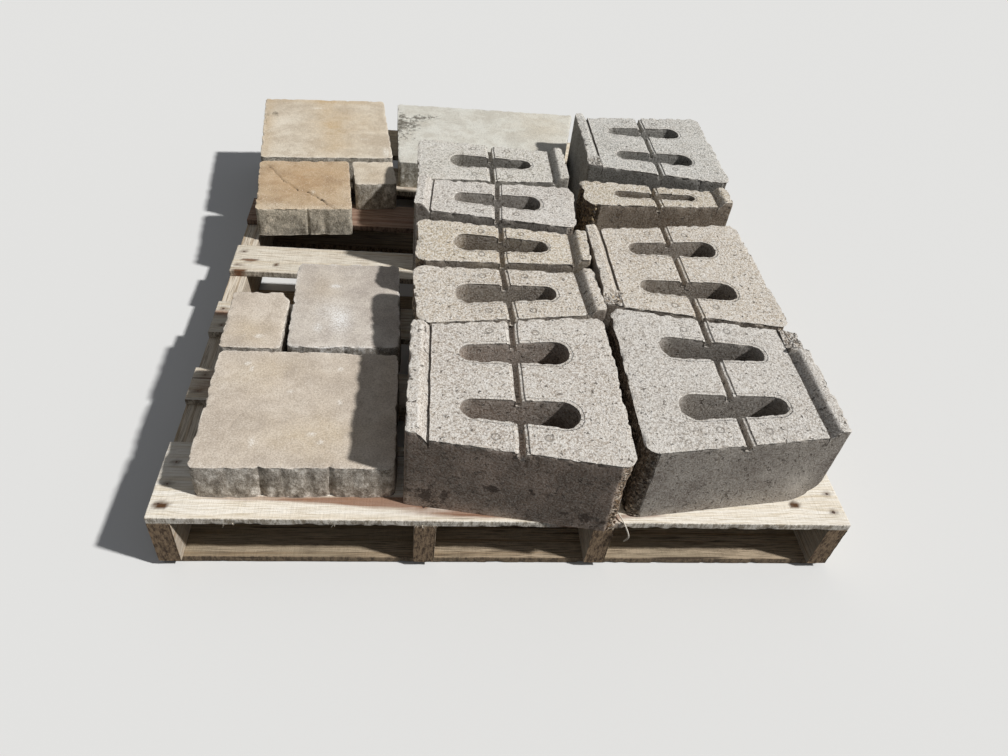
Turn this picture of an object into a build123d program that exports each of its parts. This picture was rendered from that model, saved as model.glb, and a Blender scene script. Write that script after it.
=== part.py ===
from build123d import *
from math import cos, radians, sin, tan
import os

# A wooden pallet with a mixed load of concrete: tapered retaining wall blocks
# lying upside down with their rear lips up, and single paving slabs beside them.
# Millimetres. +X runs along the pallet's front, +Y towards its back, +Z is up.
# The origin is the centre of the pallet's footprint, on the ground.

os.makedirs("parts", exist_ok=True)

# Pallet
pallet_width = 1016.0
pallet_depth = 1219.2
stringer_thickness = 32.0
stringer_height = 88.9
inner_stringer_offset = 130.0
board_thickness = 12.7
lead_board_width = 139.7
inner_board_width = 88.9
narrow_board_width = 76.0
# middles of the inner deck boards, as shares of the depth from the front edge;
# the first of them is the narrow one
inner_board_shares = (0.2170, 0.3576, 0.5075, 0.6570, 0.7833)
bottom_board_setback = 8.0
board_edge_wear = 1.5

deck_bottom = board_thickness + stringer_height
deck_top = deck_bottom + board_thickness
pallet_front = -pallet_depth / 2

# Retaining wall blocks, moulded and then split to give the rough face
block_depth = 312.0
block_height = 142.0
large_face_width = 322.0
small_face_widths = (157.0, 138.0, 155.5, 174.5)
narrow_face_width = 100.0
large_side_taper = 45.0
small_side_taper = 21.0
narrow_side_taper = 19.0
lip_height = 10.4
lip_top_width = 22.0
lip_slope_width = 13.0
groove_width = 15.0
groove_floor_width = 8.0
groove_depth = 14.0
groove_chamfer_depth = 3.5
split_corner_radius = 24.0
core_margin_rear = 74.0
core_length = 166.0
core_rear_width = 34.0
core_face_width = 52.0
core_inner_wall = 40.0
core_rear_radius = 16.0
core_face_radius = 24.0
narrow_core_rear_width = 13.0
narrow_core_face_width = 18.0
narrow_core_rear_radius = 6.0
narrow_core_face_radius = 8.0
broken_edge_radius = 46.0
broken_lip_length = 24.0
# broken end of the narrow block: share of the half width, depth of the break
narrow_breaks = ((-1.0, 8.0), (-0.57, 0.5), (-0.13, 10.0), (0.45, 3.0), (1.0, 17.0))

# Paving slabs and pavers
slab_thickness = 62.0
slab_edge_wear = 3.0
slab_corner_radius = 9.0
lobe_bulge = 3.5
front_slab_width = 284.0
front_slab_depth = 246.0
medium_slab_width = 187.0
medium_slab_depth = 238.0
small_slab_width = 96.0
small_slab_depth = 147.0
small_slab_clip_width = 14.0
small_slab_clip_depth = 22.0
small_paver_width = 90.0
small_paver_depth = 100.0
tan_paver_width = 189.0
tan_paver_depth = 201.0
rear_paver_width = 287.0
rear_paver_depth = 301.0
rear_slab_depth = 308.0
rear_slab_slant = 12.0
rear_slab_lead = 10.0

# Places of the load. The middle column of blocks starts at middle_column_left,
# and everything beside and behind it follows from sizes and gaps. The gaps in a
# column are from front to back, at mid depth: each is to the piece in front, and
# the first is to the line where the load starts. Shifts are sideways from the
# column's line.
middle_column_left = -162.0
column_gap = 4.0
block_front_setback = 5.0
middle_column_gaps = (0.0, 3.0, 18.0, 26.0, 8.0)
right_column_gaps = (23.0, 6.5, 76.0, 52.0)
small_block_3_shift = 1.0
small_block_4_shift = -3.0
narrow_block_shift = 11.0
large_block_4_shift = 45.0
front_slab_setback = 34.5
front_slab_gap = 9.0
medium_slab_gap = 11.0
slab_row_gap = 2.0
small_slab_gap = 3.0
rear_row_gap = 42.0
rear_pavers_gap = 52.0
rear_pavers_turn = 6.6
small_paver_gap = 7.0
rear_paver_gap = 16.0
rear_slab_gap = 10.0
rear_slab_block_gap = 5.0


def turned(x, y, z, angle):
    """Plane at a place on the pallet, turned about the vertical."""
    direction = (cos(radians(angle)), sin(radians(angle)), 0)
    return Plane(origin=(x, y, z), x_dir=direction, z_dir=(0, 0, 1))


def save(piece, name):
    piece.part.label = name
    export_step(piece.part, f"parts/{name}.step")


# Stringers, one below each end of the boards and two between
stringer_end = (pallet_width - stringer_thickness) / 2
stringer_places = (-stringer_end, -inner_stringer_offset, inner_stringer_offset, stringer_end)
for number, place in enumerate(stringer_places, start=1):
    with BuildPart() as stringer:
        with BuildSketch(Plane.XZ.offset(-pallet_depth / 2)):
            with Locations((place, board_thickness + stringer_height / 2)):
                Rectangle(stringer_thickness, stringer_height)
        extrude(amount=pallet_depth)
    save(stringer, f"stringer_{number}")


def board(middle, width, underside):
    """One board across the stringers, its long edges worn."""
    with BuildPart() as plank:
        with BuildSketch(Plane.XY.offset(underside)):
            with Locations((0, middle)):
                Rectangle(pallet_width, width)
        extrude(amount=board_thickness)
        chamfer(plank.edges().filter_by(Axis.X), board_edge_wear)
    return plank


front_lead_middle = pallet_front + lead_board_width / 2
back_lead_middle = -pallet_front - lead_board_width / 2
inner_middles = [pallet_front + share * pallet_depth for share in inner_board_shares]
top_boards = [(front_lead_middle, lead_board_width), (inner_middles[0], narrow_board_width)]
top_boards += [(middle, inner_board_width) for middle in inner_middles[1:]]
top_boards += [(back_lead_middle, lead_board_width)]
for number, (middle, width) in enumerate(top_boards, start=1):
    save(board(middle, width, deck_bottom), f"top_board_{number}")

# Bottom boards, evenly spaced, the two outer ones a little inside the ends
bottom_reach = -front_lead_middle - bottom_board_setback
bottom_boards = [(-bottom_reach, lead_board_width)]
bottom_boards += [(share * bottom_reach, inner_board_width) for share in (-0.5, 0, 0.5)]
bottom_boards += [(bottom_reach, lead_board_width)]
for number, (middle, width) in enumerate(bottom_boards, start=1):
    save(board(middle, width, 0), f"bottom_board_{number}")


def core_outlines(kind):
    """Corners of each core: it widens towards the split face."""
    rear = -block_depth / 2 + core_margin_rear
    face = rear + core_length
    if kind == "large":
        inner = core_inner_wall
        return [
            [
                (rear, side * inner),
                (face, side * inner),
                (face, side * (inner + core_face_width)),
                (rear, side * (inner + core_rear_width)),
            ]
            for side in (-1, 1)
        ]
    half_rear = (narrow_core_rear_width if kind == "narrow" else core_rear_width) / 2
    half_face = (narrow_core_face_width if kind == "narrow" else core_face_width) / 2
    return [[(rear, -half_rear), (face, -half_face), (face, half_face), (rear, half_rear)]]


def wall_block(place, face_width, side_taper, kind):
    """One wall block, upside down: the rear edge carries the locating lip."""
    rear = -block_depth / 2
    face = block_depth / 2
    half_face = face_width / 2
    half_rear = half_face - side_taper
    full_height = block_height + lip_height
    side_plane = Plane(origin=place.origin, x_dir=place.x_dir, z_dir=-place.y_dir)
    if kind == "narrow":
        rear_radius, face_radius = narrow_core_rear_radius, narrow_core_face_radius
        split_side = [(face - depth, share * half_face) for share, depth in narrow_breaks]
    else:
        rear_radius, face_radius = core_rear_radius, core_face_radius
        split_side = [(face, -half_face), (face, half_face)]
    with BuildPart() as block:
        with BuildSketch(place) as outline:
            Polygon((rear, -half_rear), *split_side, (rear, half_rear), align=None)
            if kind != "narrow":
                fillet(outline.vertices().group_by(Axis.X)[-1], split_corner_radius)
        extrude(amount=full_height)
        # the bed between the lip and the face
        with BuildSketch(side_plane):
            Polygon(
                (rear + lip_top_width, full_height),
                (rear + lip_top_width + lip_slope_width, block_height),
                (face + 1, block_height),
                (face + 1, full_height),
                align=None,
            )
        extrude(amount=half_face + 1, both=True, mode=Mode.SUBTRACT)
        # the alignment groove across the bed
        with BuildSketch(side_plane):
            Polygon(
                (-groove_width / 2, block_height),
                (-groove_floor_width / 2, block_height - groove_chamfer_depth),
                (-groove_floor_width / 2, block_height - groove_depth),
                (groove_floor_width / 2, block_height - groove_depth),
                (groove_floor_width / 2, block_height - groove_chamfer_depth),
                (groove_width / 2, block_height),
                align=None,
            )
        extrude(amount=half_face + 1, both=True, mode=Mode.SUBTRACT)
        # the cores, right through
        for corners in core_outlines(kind):
            with BuildSketch(place) as core:
                Polygon(*corners, align=None)
                fillet(core.vertices().group_by(Axis.X)[0], rear_radius)
                fillet(core.vertices().group_by(Axis.X)[-1], face_radius)
            extrude(amount=full_height, mode=Mode.SUBTRACT)
    return block


def break_edge(block, place):
    """Wear the rear bottom edge away in a wide round."""
    with block:
        bottom = block.faces().sort_by(Axis.Z)[0]
        rear = -block_depth / 2
        at_rear = lambda edge: abs(place.to_local_coords(edge.center()).X - rear) < 1
        fillet(bottom.edges().filter_by(at_rear), broken_edge_radius)


def break_lip(block, place, half_rear):
    """Break one end of the lip off aslant."""
    corner = place.from_local_coords(Vector(-block_depth / 2, -half_rear, block_height))
    rear_plane = Plane(origin=corner, x_dir=place.y_dir, z_dir=place.x_dir)
    with BuildSketch(rear_plane) as gone:
        Polygon((-5, 0), (-5, lip_height), (broken_lip_length, lip_height), align=None)
    with block:
        extrude(gone.sketch, lip_top_width + lip_slope_width, mode=Mode.SUBTRACT)


def laid(name, kind, face_width, turn, shift=0.0):
    """One block of a column. The turn is that of the way from lip to split face."""
    return dict(name=name, kind=kind, face=face_width, turn=turn, shift=shift)


middle_column = [
    laid("wall_block_large_1", "large", large_face_width, -0.6),
    laid("wall_block_small_1", "small", small_face_widths[0], 184.0),
    laid("wall_block_small_2", "small", small_face_widths[1], 178.4),
    laid("wall_block_small_3", "small", small_face_widths[2], -3.3, small_block_3_shift),
    laid("wall_block_small_4", "small", small_face_widths[3], 179.6, small_block_4_shift),
]
right_column = [
    laid("wall_block_large_2", "large", large_face_width, 179.8),
    laid("wall_block_large_3", "large", large_face_width, 0.6),
    laid("wall_block_narrow", "narrow", narrow_face_width, 180.7, narrow_block_shift),
    laid("wall_block_large_4", "large", large_face_width, -0.1, large_block_4_shift),
]
tapers = {"large": large_side_taper, "small": small_side_taper, "narrow": narrow_side_taper}
broken_edges = ("wall_block_large_2",)
broken_lips = ("wall_block_large_2", "wall_block_large_3", "wall_block_large_4")

middle_column_x = middle_column_left + block_depth / 2
right_column_x = middle_column_x + block_depth + column_gap
load_front = pallet_front + block_front_setback
columns = (
    (middle_column_x, middle_column_gaps, middle_column),
    (right_column_x, right_column_gaps, right_column),
)
for column_x, gaps, blocks in columns:
    front = load_front
    for gap, entry in zip(gaps, blocks):
        taper = tapers[entry["kind"]]
        width = entry["face"] - taper
        entry["x"] = column_x + entry["shift"]
        entry["y"] = front + gap + width / 2
        front = entry["back"] = front + gap + width
        place = turned(entry["x"], entry["y"], deck_top, entry["turn"])
        solid = wall_block(place, entry["face"], taper, entry["kind"])
        if entry["name"] in broken_edges:
            break_edge(solid, place)
        if entry["name"] in broken_lips:
            break_lip(solid, place, entry["face"] / 2 - taper)
        save(solid, entry["name"])


def slab(place, corners, lobes):
    """One slab. Each side is a row of shallow lobes, or straight where it has none."""
    corners = [Vector(*corner) for corner in corners]
    with BuildPart() as piece:
        with BuildSketch(place) as outline:
            with BuildLine():
                for start, end, count in zip(corners, corners[1:] + corners[:1], lobes):
                    side = end - start
                    outward = Vector(side.Y, -side.X).normalized() * lobe_bulge
                    if count == 0:
                        Line(start, end)
                    for number in range(count):
                        first = start + side * (number / count)
                        last = start + side * ((number + 1) / count)
                        ThreePointArc(first, (first + last) * 0.5 + outward, last)
            make_face()
            at_corner = lambda vertex: min((vertex.center() - c).length for c in corners) < 0.1
            fillet(outline.vertices().filter_by(at_corner), slab_corner_radius)
        extrude(amount=slab_thickness)
        chamfer(piece.faces().sort_by(Axis.Z)[-1].edges(), slab_edge_wear)
    return piece


def rectangle(width, depth, bulge=0.0):
    """Corners of a slab of this size over its lobes, front left one first."""
    across = width / 2 - bulge
    along = depth / 2 - bulge
    return [(-across, -along), (across, -along), (across, along), (-across, along)]


def reach(width, depth, turn):
    """How far a turned rectangle goes from its middle, across and along the pallet."""
    turn = radians(turn)
    across = (width * cos(turn) + depth * sin(turn)) / 2
    along = (width * sin(turn) + depth * cos(turn)) / 2
    return across, along


# Front slab, left of the middle column
front_slab_turn = 1.0
across, along = reach(front_slab_width, front_slab_depth, front_slab_turn)
front_slab_x = middle_column_left - front_slab_gap - across
front_slab_y = pallet_front + front_slab_setback + along
slab_row_front = front_slab_y + along + slab_row_gap
save(
    slab(
        turned(front_slab_x, front_slab_y, deck_top, front_slab_turn),
        rectangle(front_slab_width, front_slab_depth, lobe_bulge),
        (3, 2, 3, 2),
    ),
    "slab_front",
)


def in_frame(frame, turn, right, front, width, depth, extra_turn=0.0):
    """Plane of a slab, from its right and front edges in a turned frame."""
    middle = frame.from_local_coords(Vector(right - width / 2, front + depth / 2, 0))
    return turned(middle.X, middle.Y, deck_top, turn + extra_turn)


# Medium and small slabs, side by side behind it
medium_slab_turn = 2.5
across, along = reach(medium_slab_width, medium_slab_depth, medium_slab_turn)
medium_slab_x = middle_column_left - medium_slab_gap - across
medium_slab_plane = turned(medium_slab_x, slab_row_front + along, deck_top, medium_slab_turn)
save(
    slab(
        medium_slab_plane,
        rectangle(medium_slab_width, medium_slab_depth, lobe_bulge),
        (2, 2, 2, 2),
    ),
    "slab_medium",
)
front_left, front_right, back_right, back_left = rectangle(small_slab_width, small_slab_depth)
save(
    slab(
        in_frame(
            medium_slab_plane,
            medium_slab_turn,
            -medium_slab_width / 2 - small_slab_gap,
            -medium_slab_depth / 2,
            small_slab_width,
            small_slab_depth,
            extra_turn=-1.5,
        ),
        [
            front_left,
            front_right,
            (back_right[0], back_right[1] - small_slab_clip_depth),
            (back_right[0] - small_slab_clip_width, back_right[1]),
            back_left,
        ],
        (0, 0, 0, 0, 0),
    ),
    "slab_small",
)

# Three pavers at the back, turned together. They share the line of their right
# sides; the tan and the small one end at the row's front line.
rear_row_front = middle_column[-1]["back"] + small_side_taper / 2 + rear_row_gap
rear_pavers = turned(
    middle_column_left - rear_pavers_gap, rear_row_front, deck_top, rear_pavers_turn
)
tan_paver_right = -small_paver_width - small_paver_gap
rear_paver_places = [
    ("paver_small", 0, -small_paver_depth, small_paver_width, small_paver_depth, 1.9),
    ("paver_tan", tan_paver_right, -tan_paver_depth, tan_paver_width, tan_paver_depth, 0.0),
    ("paver_rear", 0, rear_paver_gap, rear_paver_width, rear_paver_depth, 0.2),
]
for name, right, front, width, depth, extra_turn in rear_paver_places:
    plane = in_frame(rear_pavers, rear_pavers_turn, right, front, width, depth, extra_turn)
    save(slab(plane, rectangle(width, depth), (0, 0, 0, 0)), name)

# Rear slab, from the pavers to the last block of the right column, whose lip its
# slanted right end passes
last_block = right_column[-1]
corner_x = last_block["x"] - block_depth / 2
corner_y = last_block["y"] + large_face_width / 2 - large_side_taper
slant = tan(radians(rear_slab_slant))
rear_slab_left = rear_pavers.origin.X + rear_slab_gap
rear_slab_back = rear_row_front + rear_slab_depth
rear_slab_lean = rear_slab_depth * tan(radians(2.5))


def slanted_end(y):
    """A corner of the slanted end, which passes the block's corner at its gap."""
    return corner_x - rear_slab_block_gap + (y - corner_y) * slant, y


save(
    slab(
        turned(0, 0, deck_top, 0),
        [
            (rear_slab_left, rear_row_front),
            slanted_end(rear_row_front + rear_slab_lead),
            slanted_end(rear_slab_back + rear_slab_lead),
            (rear_slab_left - rear_slab_lean, rear_slab_back),
        ],
        (0, 0, 0, 0),
    ),
    "slab_rear",
)
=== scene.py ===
from functools import partial
from math import cos, pi, radians, sin

import bmesh
import bpy
import numpy as np
from mathutils import Matrix


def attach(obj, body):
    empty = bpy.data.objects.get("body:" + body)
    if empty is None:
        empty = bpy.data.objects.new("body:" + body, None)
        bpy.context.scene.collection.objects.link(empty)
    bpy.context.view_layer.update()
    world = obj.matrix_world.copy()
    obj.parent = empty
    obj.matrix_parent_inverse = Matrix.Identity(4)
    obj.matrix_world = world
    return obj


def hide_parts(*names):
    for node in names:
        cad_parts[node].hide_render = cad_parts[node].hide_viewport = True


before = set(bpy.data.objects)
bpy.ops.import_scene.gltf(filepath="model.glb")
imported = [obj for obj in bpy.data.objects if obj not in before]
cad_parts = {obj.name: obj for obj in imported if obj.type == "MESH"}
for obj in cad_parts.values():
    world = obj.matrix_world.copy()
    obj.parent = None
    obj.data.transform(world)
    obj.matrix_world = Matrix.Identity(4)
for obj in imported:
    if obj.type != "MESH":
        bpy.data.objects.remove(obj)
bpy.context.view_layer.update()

# A loaded pallet. Sizes are in millimetres, in the frame of the solids: +X along the
# pallet's front, +Y towards its back, +Z up from the ground.
METRE = 0.001
DECK_TOP = 114.3

# ---------------------------------------------------------------- numbers and grids


def random_heights(points, size, seed):
    """Smooth random heights from -1 to 1. Each corner of a cubic lattice of this size has
    a height from a hash of its place, and between corners the heights are blended with
    the weight 3t^2 - 2t^3 along each axis."""
    place = points / size + seed * 13.37
    cell = np.floor(place).astype(np.int64)
    t = place - cell
    t = t * t * (3 - 2 * t)
    total = np.zeros(len(points))
    for corner in np.ndindex(2, 2, 2):
        at = cell + corner
        key = (at[:, 0] * 73856093) ^ (at[:, 1] * 19349663) ^ (at[:, 2] * 83492791)
        key = ((key ^ (key >> 13)) * 1274126177) & 0xFFFFFFFF
        key = ((key ^ (key >> 15)) * 2246822519) & 0xFFFFFFFF
        height = ((key ^ (key >> 16)) & 0xFFFF) / 32767.5 - 1
        total += height * np.prod(np.where(corner, t, 1 - t), axis=1)
    return total


def rough(points, size, seed, layers=3):
    """Random heights in layers: each layer is half as large and half as strong."""
    total = sum(random_heights(points, size / 2**n, seed + n) / 2**n for n in range(layers))
    return total / (2 - 2 / 2**layers)


def ease(value, start, end):
    """0 before start, 1 after end, and 3t^2 - 2t^3 between them."""
    t = np.clip((value - start) / (end - start), 0, 1)
    return t * t * (3 - 2 * t)


def round_off(distance, radius):
    """What a round corner takes off a side, at a distance from the corner:
    r - sqrt(r^2 - (r - d)^2) up to the radius, and nothing after it."""
    rest = np.clip(radius - distance, 0, radius)
    return radius - np.sqrt(radius**2 - rest**2)


def worn_edge(across, down, radius):
    """Bends the square corner between two faces into a round one. A point that lies
    a = across and b = down from the two faces keeps its ring, the larger of r - a and
    r - b, and goes round it by an eighth turn times the smaller over the larger."""
    p, q = radius - across, radius - down
    inside = (p > 0) & (q > 0)
    p, q = np.where(inside, p, 1), np.where(inside, q, 1)
    ring = np.maximum(p, q)
    angle = pi / 4 * np.minimum(p, q) / ring
    long, short = ring * np.cos(angle), ring * np.sin(angle)
    new_p, new_q = np.where(p >= q, long, short), np.where(p >= q, short, long)
    return (
        np.where(inside, radius - new_p, across),
        np.where(inside, radius - new_q, down),
    )


def wear_down(points, distance, way, depth, radius):
    """Wears the arris between a side and the top round. The points move where they stand.
    Gives their new depths below the top."""
    new_distance, new_depth = worn_edge(distance, depth, radius)
    points[:, :2] += way * (new_distance - distance)[:, None]
    points[:, 2] -= new_depth - depth
    return new_depth


def oval(places, x, y, reach_x, reach_y):
    """Squared distance from a place, counted in an oval's two reaches."""
    return ((places[:, 0] - x) / reach_x) ** 2 + ((places[:, 1] - y) / reach_y) ** 2


def spots(places, rows):
    """Soft ovals: the sum of each one's strength times e^(-distance^2). A row is the
    oval's place, its two reaches and its strength."""
    total = np.zeros(len(places))
    for *row, strength in rows:
        total += strength * np.exp(-oval(places, *row))
    return total


# steps away from an arris, closest where it bends
EDGE = np.array((0.0, 0.8, 1.8, 3.0, 4.6, 6.8, 9.6, 13.0))
FINE = np.array((0.0, 0.5, 1.2, 2.2, 3.8))


def stations(start, end, spacing, first=EDGE, last=EDGE):
    """Places from start to end, close together near both ends and even between."""
    room = (end - start - spacing) / (first[-1] + last[-1])
    first, last = (steps * min(1, room) for steps in (first, last))
    count = max(1, round((end - last[-1] - start - first[-1]) / spacing))
    middle = np.linspace(start + first[-1], end - last[-1], count + 1)[1:-1]
    return np.concatenate([start + first, middle, (end - last)[::-1]])


def joined(*rows):
    """Rows of places one after another, each shared place once."""
    places = np.concatenate(rows)
    return places[np.concatenate([[True], np.diff(places) > 0.03])]


def shares(row):
    """Places as shares of the way from the first to the last."""
    return (row - row[0]) / (row[-1] - row[0])


def skin(corners, solid=True):
    """Surface of a body of cells. corners is a grid of points over three parameters, and
    solid says which cells are filled. A face lies between a filled cell and an empty one
    and looks at the empty one. Gives points, four-cornered faces, and grid places."""
    index = np.arange(corners[..., 0].size).reshape(corners.shape[:3])
    edged = np.pad(np.broadcast_to(solid, np.array(index.shape) - 1), 1)
    faces = []
    for axis in range(3):
        order = (axis, (axis + 1) % 3, (axis + 2) % 3)
        filled = np.moveaxis(edged, order, (0, 1, 2))[:, 1:-1, 1:-1]
        at = np.moveaxis(index, order, (0, 1, 2))
        face = np.stack([at[:, :-1, :-1], at[:, 1:, :-1], at[:, 1:, 1:], at[:, :-1, 1:]], -1)
        faces.append(face[filled[:-1] & ~filled[1:]])
        faces.append(face[~filled[:-1] & filled[1:]][:, ::-1])
    used, faces = np.unique(np.concatenate(faces), return_inverse=True)
    grid_places = np.array(np.unravel_index(used, index.shape)).T
    return corners.reshape(-1, 3)[used], faces.reshape(-1, 4), grid_places


def tubes(points):
    """Points and faces of tubes. A tube is rows of points, and each row goes once round."""
    index = np.arange(points.size // 3).reshape(-1, *points.shape[-3:-1])
    after = np.roll(index, -1, axis=2)
    corners = (index[:, :-1], after[:, :-1], after[:, 1:], index[:, 1:])
    return points.reshape(-1, 3), np.stack(corners, -1).reshape(-1, 4)


def normals(points, faces):
    """Outward direction at each point: the sum of its faces' diagonals' cross products."""
    one, two, three, four = (points[faces[:, n]] for n in range(4))
    face_normals = np.cross(three - one, four - two)
    total = np.zeros_like(points)
    for n in range(4):
        np.add.at(total, faces[:, n], face_normals)
    return total / np.maximum(np.linalg.norm(total, axis=1), 1e-9)[:, None]


def closed_line(x, out, back):
    """A closed line in plan that goes out along one row of places and back along another."""
    return np.concatenate([np.stack([x, out], 1), np.stack([x, back], 1)[::-1]])


def nearest_side(places, line):
    """Distance from each place in plan to a closed line, and the direction across the
    line at the nearest point, to the line's left."""
    start, step = line, np.roll(line, -1, axis=0) - line
    length = np.maximum((step**2).sum(1), 1e-9)
    best, way = np.full(len(places), 1e9), np.zeros((len(places), 2))
    # in batches, which keep the arrays small
    batch = 2000
    for first in range(0, len(places), batch):
        rows = slice(first, first + batch)
        part = places[rows, None] - start
        t = np.clip((part * step).sum(2) / length, 0, 1)
        gap = np.linalg.norm(part - t[..., None] * step, axis=2)
        side = gap.argmin(1)
        best[rows] = gap[np.arange(len(gap)), side]
        across = np.stack([-step[side, 1], step[side, 0]], 1)
        way[rows] = across / np.sqrt(length[side])[:, None]
    return best, way


def placed(points, x, y, turn, z=DECK_TOP):
    """Points turned about the vertical and moved to their place on the pallet."""
    c, s = cos(radians(turn)), sin(radians(turn))
    moved = points.copy()
    moved[:, 0] = x + c * points[:, 0] - s * points[:, 1]
    moved[:, 1] = y + s * points[:, 0] + c * points[:, 1]
    moved[:, 2] += z
    return moved


def piece(name, node, points, faces, material, slot_name, **attributes):
    """A mesh of its own that stands for one solid, with named values at its points."""
    mesh = bpy.data.meshes.new(name)
    mesh.vertices.add(len(points))
    mesh.vertices.foreach_set("co", (points * METRE).astype(np.float32).ravel())
    mesh.loops.add(faces.size)
    mesh.loops.foreach_set("vertex_index", faces.astype(np.int32).ravel())
    mesh.polygons.add(len(faces))
    mesh.polygons.foreach_set("loop_start", np.arange(0, faces.size, 4, dtype=np.int32))
    mesh.update(calc_edges=True)
    mesh.shade_smooth()
    mesh.set_sharp_from_angle(angle=radians(38))
    for key, values in attributes.items():
        kind, field = ("FLOAT_VECTOR", "vector") if values.ndim == 2 else ("FLOAT", "value")
        layer = mesh.attributes.new(key, kind, "POINT")
        layer.data.foreach_set(field, values.astype(np.float32).ravel())
    made = bpy.data.objects.new(name, mesh)
    bpy.context.scene.collection.objects.link(made)
    mesh.materials.append(material)
    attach(made, "root")
    if node:
        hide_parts(node)
    return made


# ---------------------------------------------------------------- finishes


def linear(code):
    """An sRGB hex colour as linear light."""
    part = np.array([int(code[n : n + 2], 16) for n in (1, 3, 5)]) / 255
    part = np.where(part <= 0.04045, part / 12.92, ((part + 0.055) / 1.055) ** 2.4)
    return (*(float(v) for v in part), 1.0)


def fill(made, inputs):
    """Gives the inputs of a node, by name or in their order, a value, a hex colour or a
    link. A node stands for the first of its outputs that are in use."""
    if isinstance(inputs, dict):
        pairs = [(made.inputs[key], value) for key, value in inputs.items()]
    else:
        pairs = zip([socket for socket in made.inputs if socket.enabled], inputs)
    for socket, value in pairs:
        if isinstance(value, bpy.types.Node):
            value = next(output for output in value.outputs if output.enabled)
        if isinstance(value, bpy.types.NodeSocket):
            made.id_data.links.new(value, socket)
        else:
            socket.default_value = linear(value) if isinstance(value, str) else value


def add(tree, kind, inputs=(), stops=(), **settings):
    """One shader node with its settings, inputs and colour stops."""
    made = tree.nodes.new("ShaderNode" + kind)
    for key, value in settings.items():
        setattr(made, key, value)
    if stops:
        row = made.color_ramp.elements
        while len(row) < len(stops):
            row.new(0.5)
        for element, (place, colour) in zip(row, stops):
            element.position = place
            element.color = linear(colour) if isinstance(colour, str) else (colour,) * 3 + (1,)
    fill(made, inputs)
    return made


def new_material(name):
    """A material, with the functions that add a node to it and fill its shader's inputs."""
    made = bpy.data.materials.new(name)
    made.use_nodes = True
    tree = made.node_tree
    return made, partial(add, tree), partial(fill, tree.nodes["Principled BSDF"])


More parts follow.
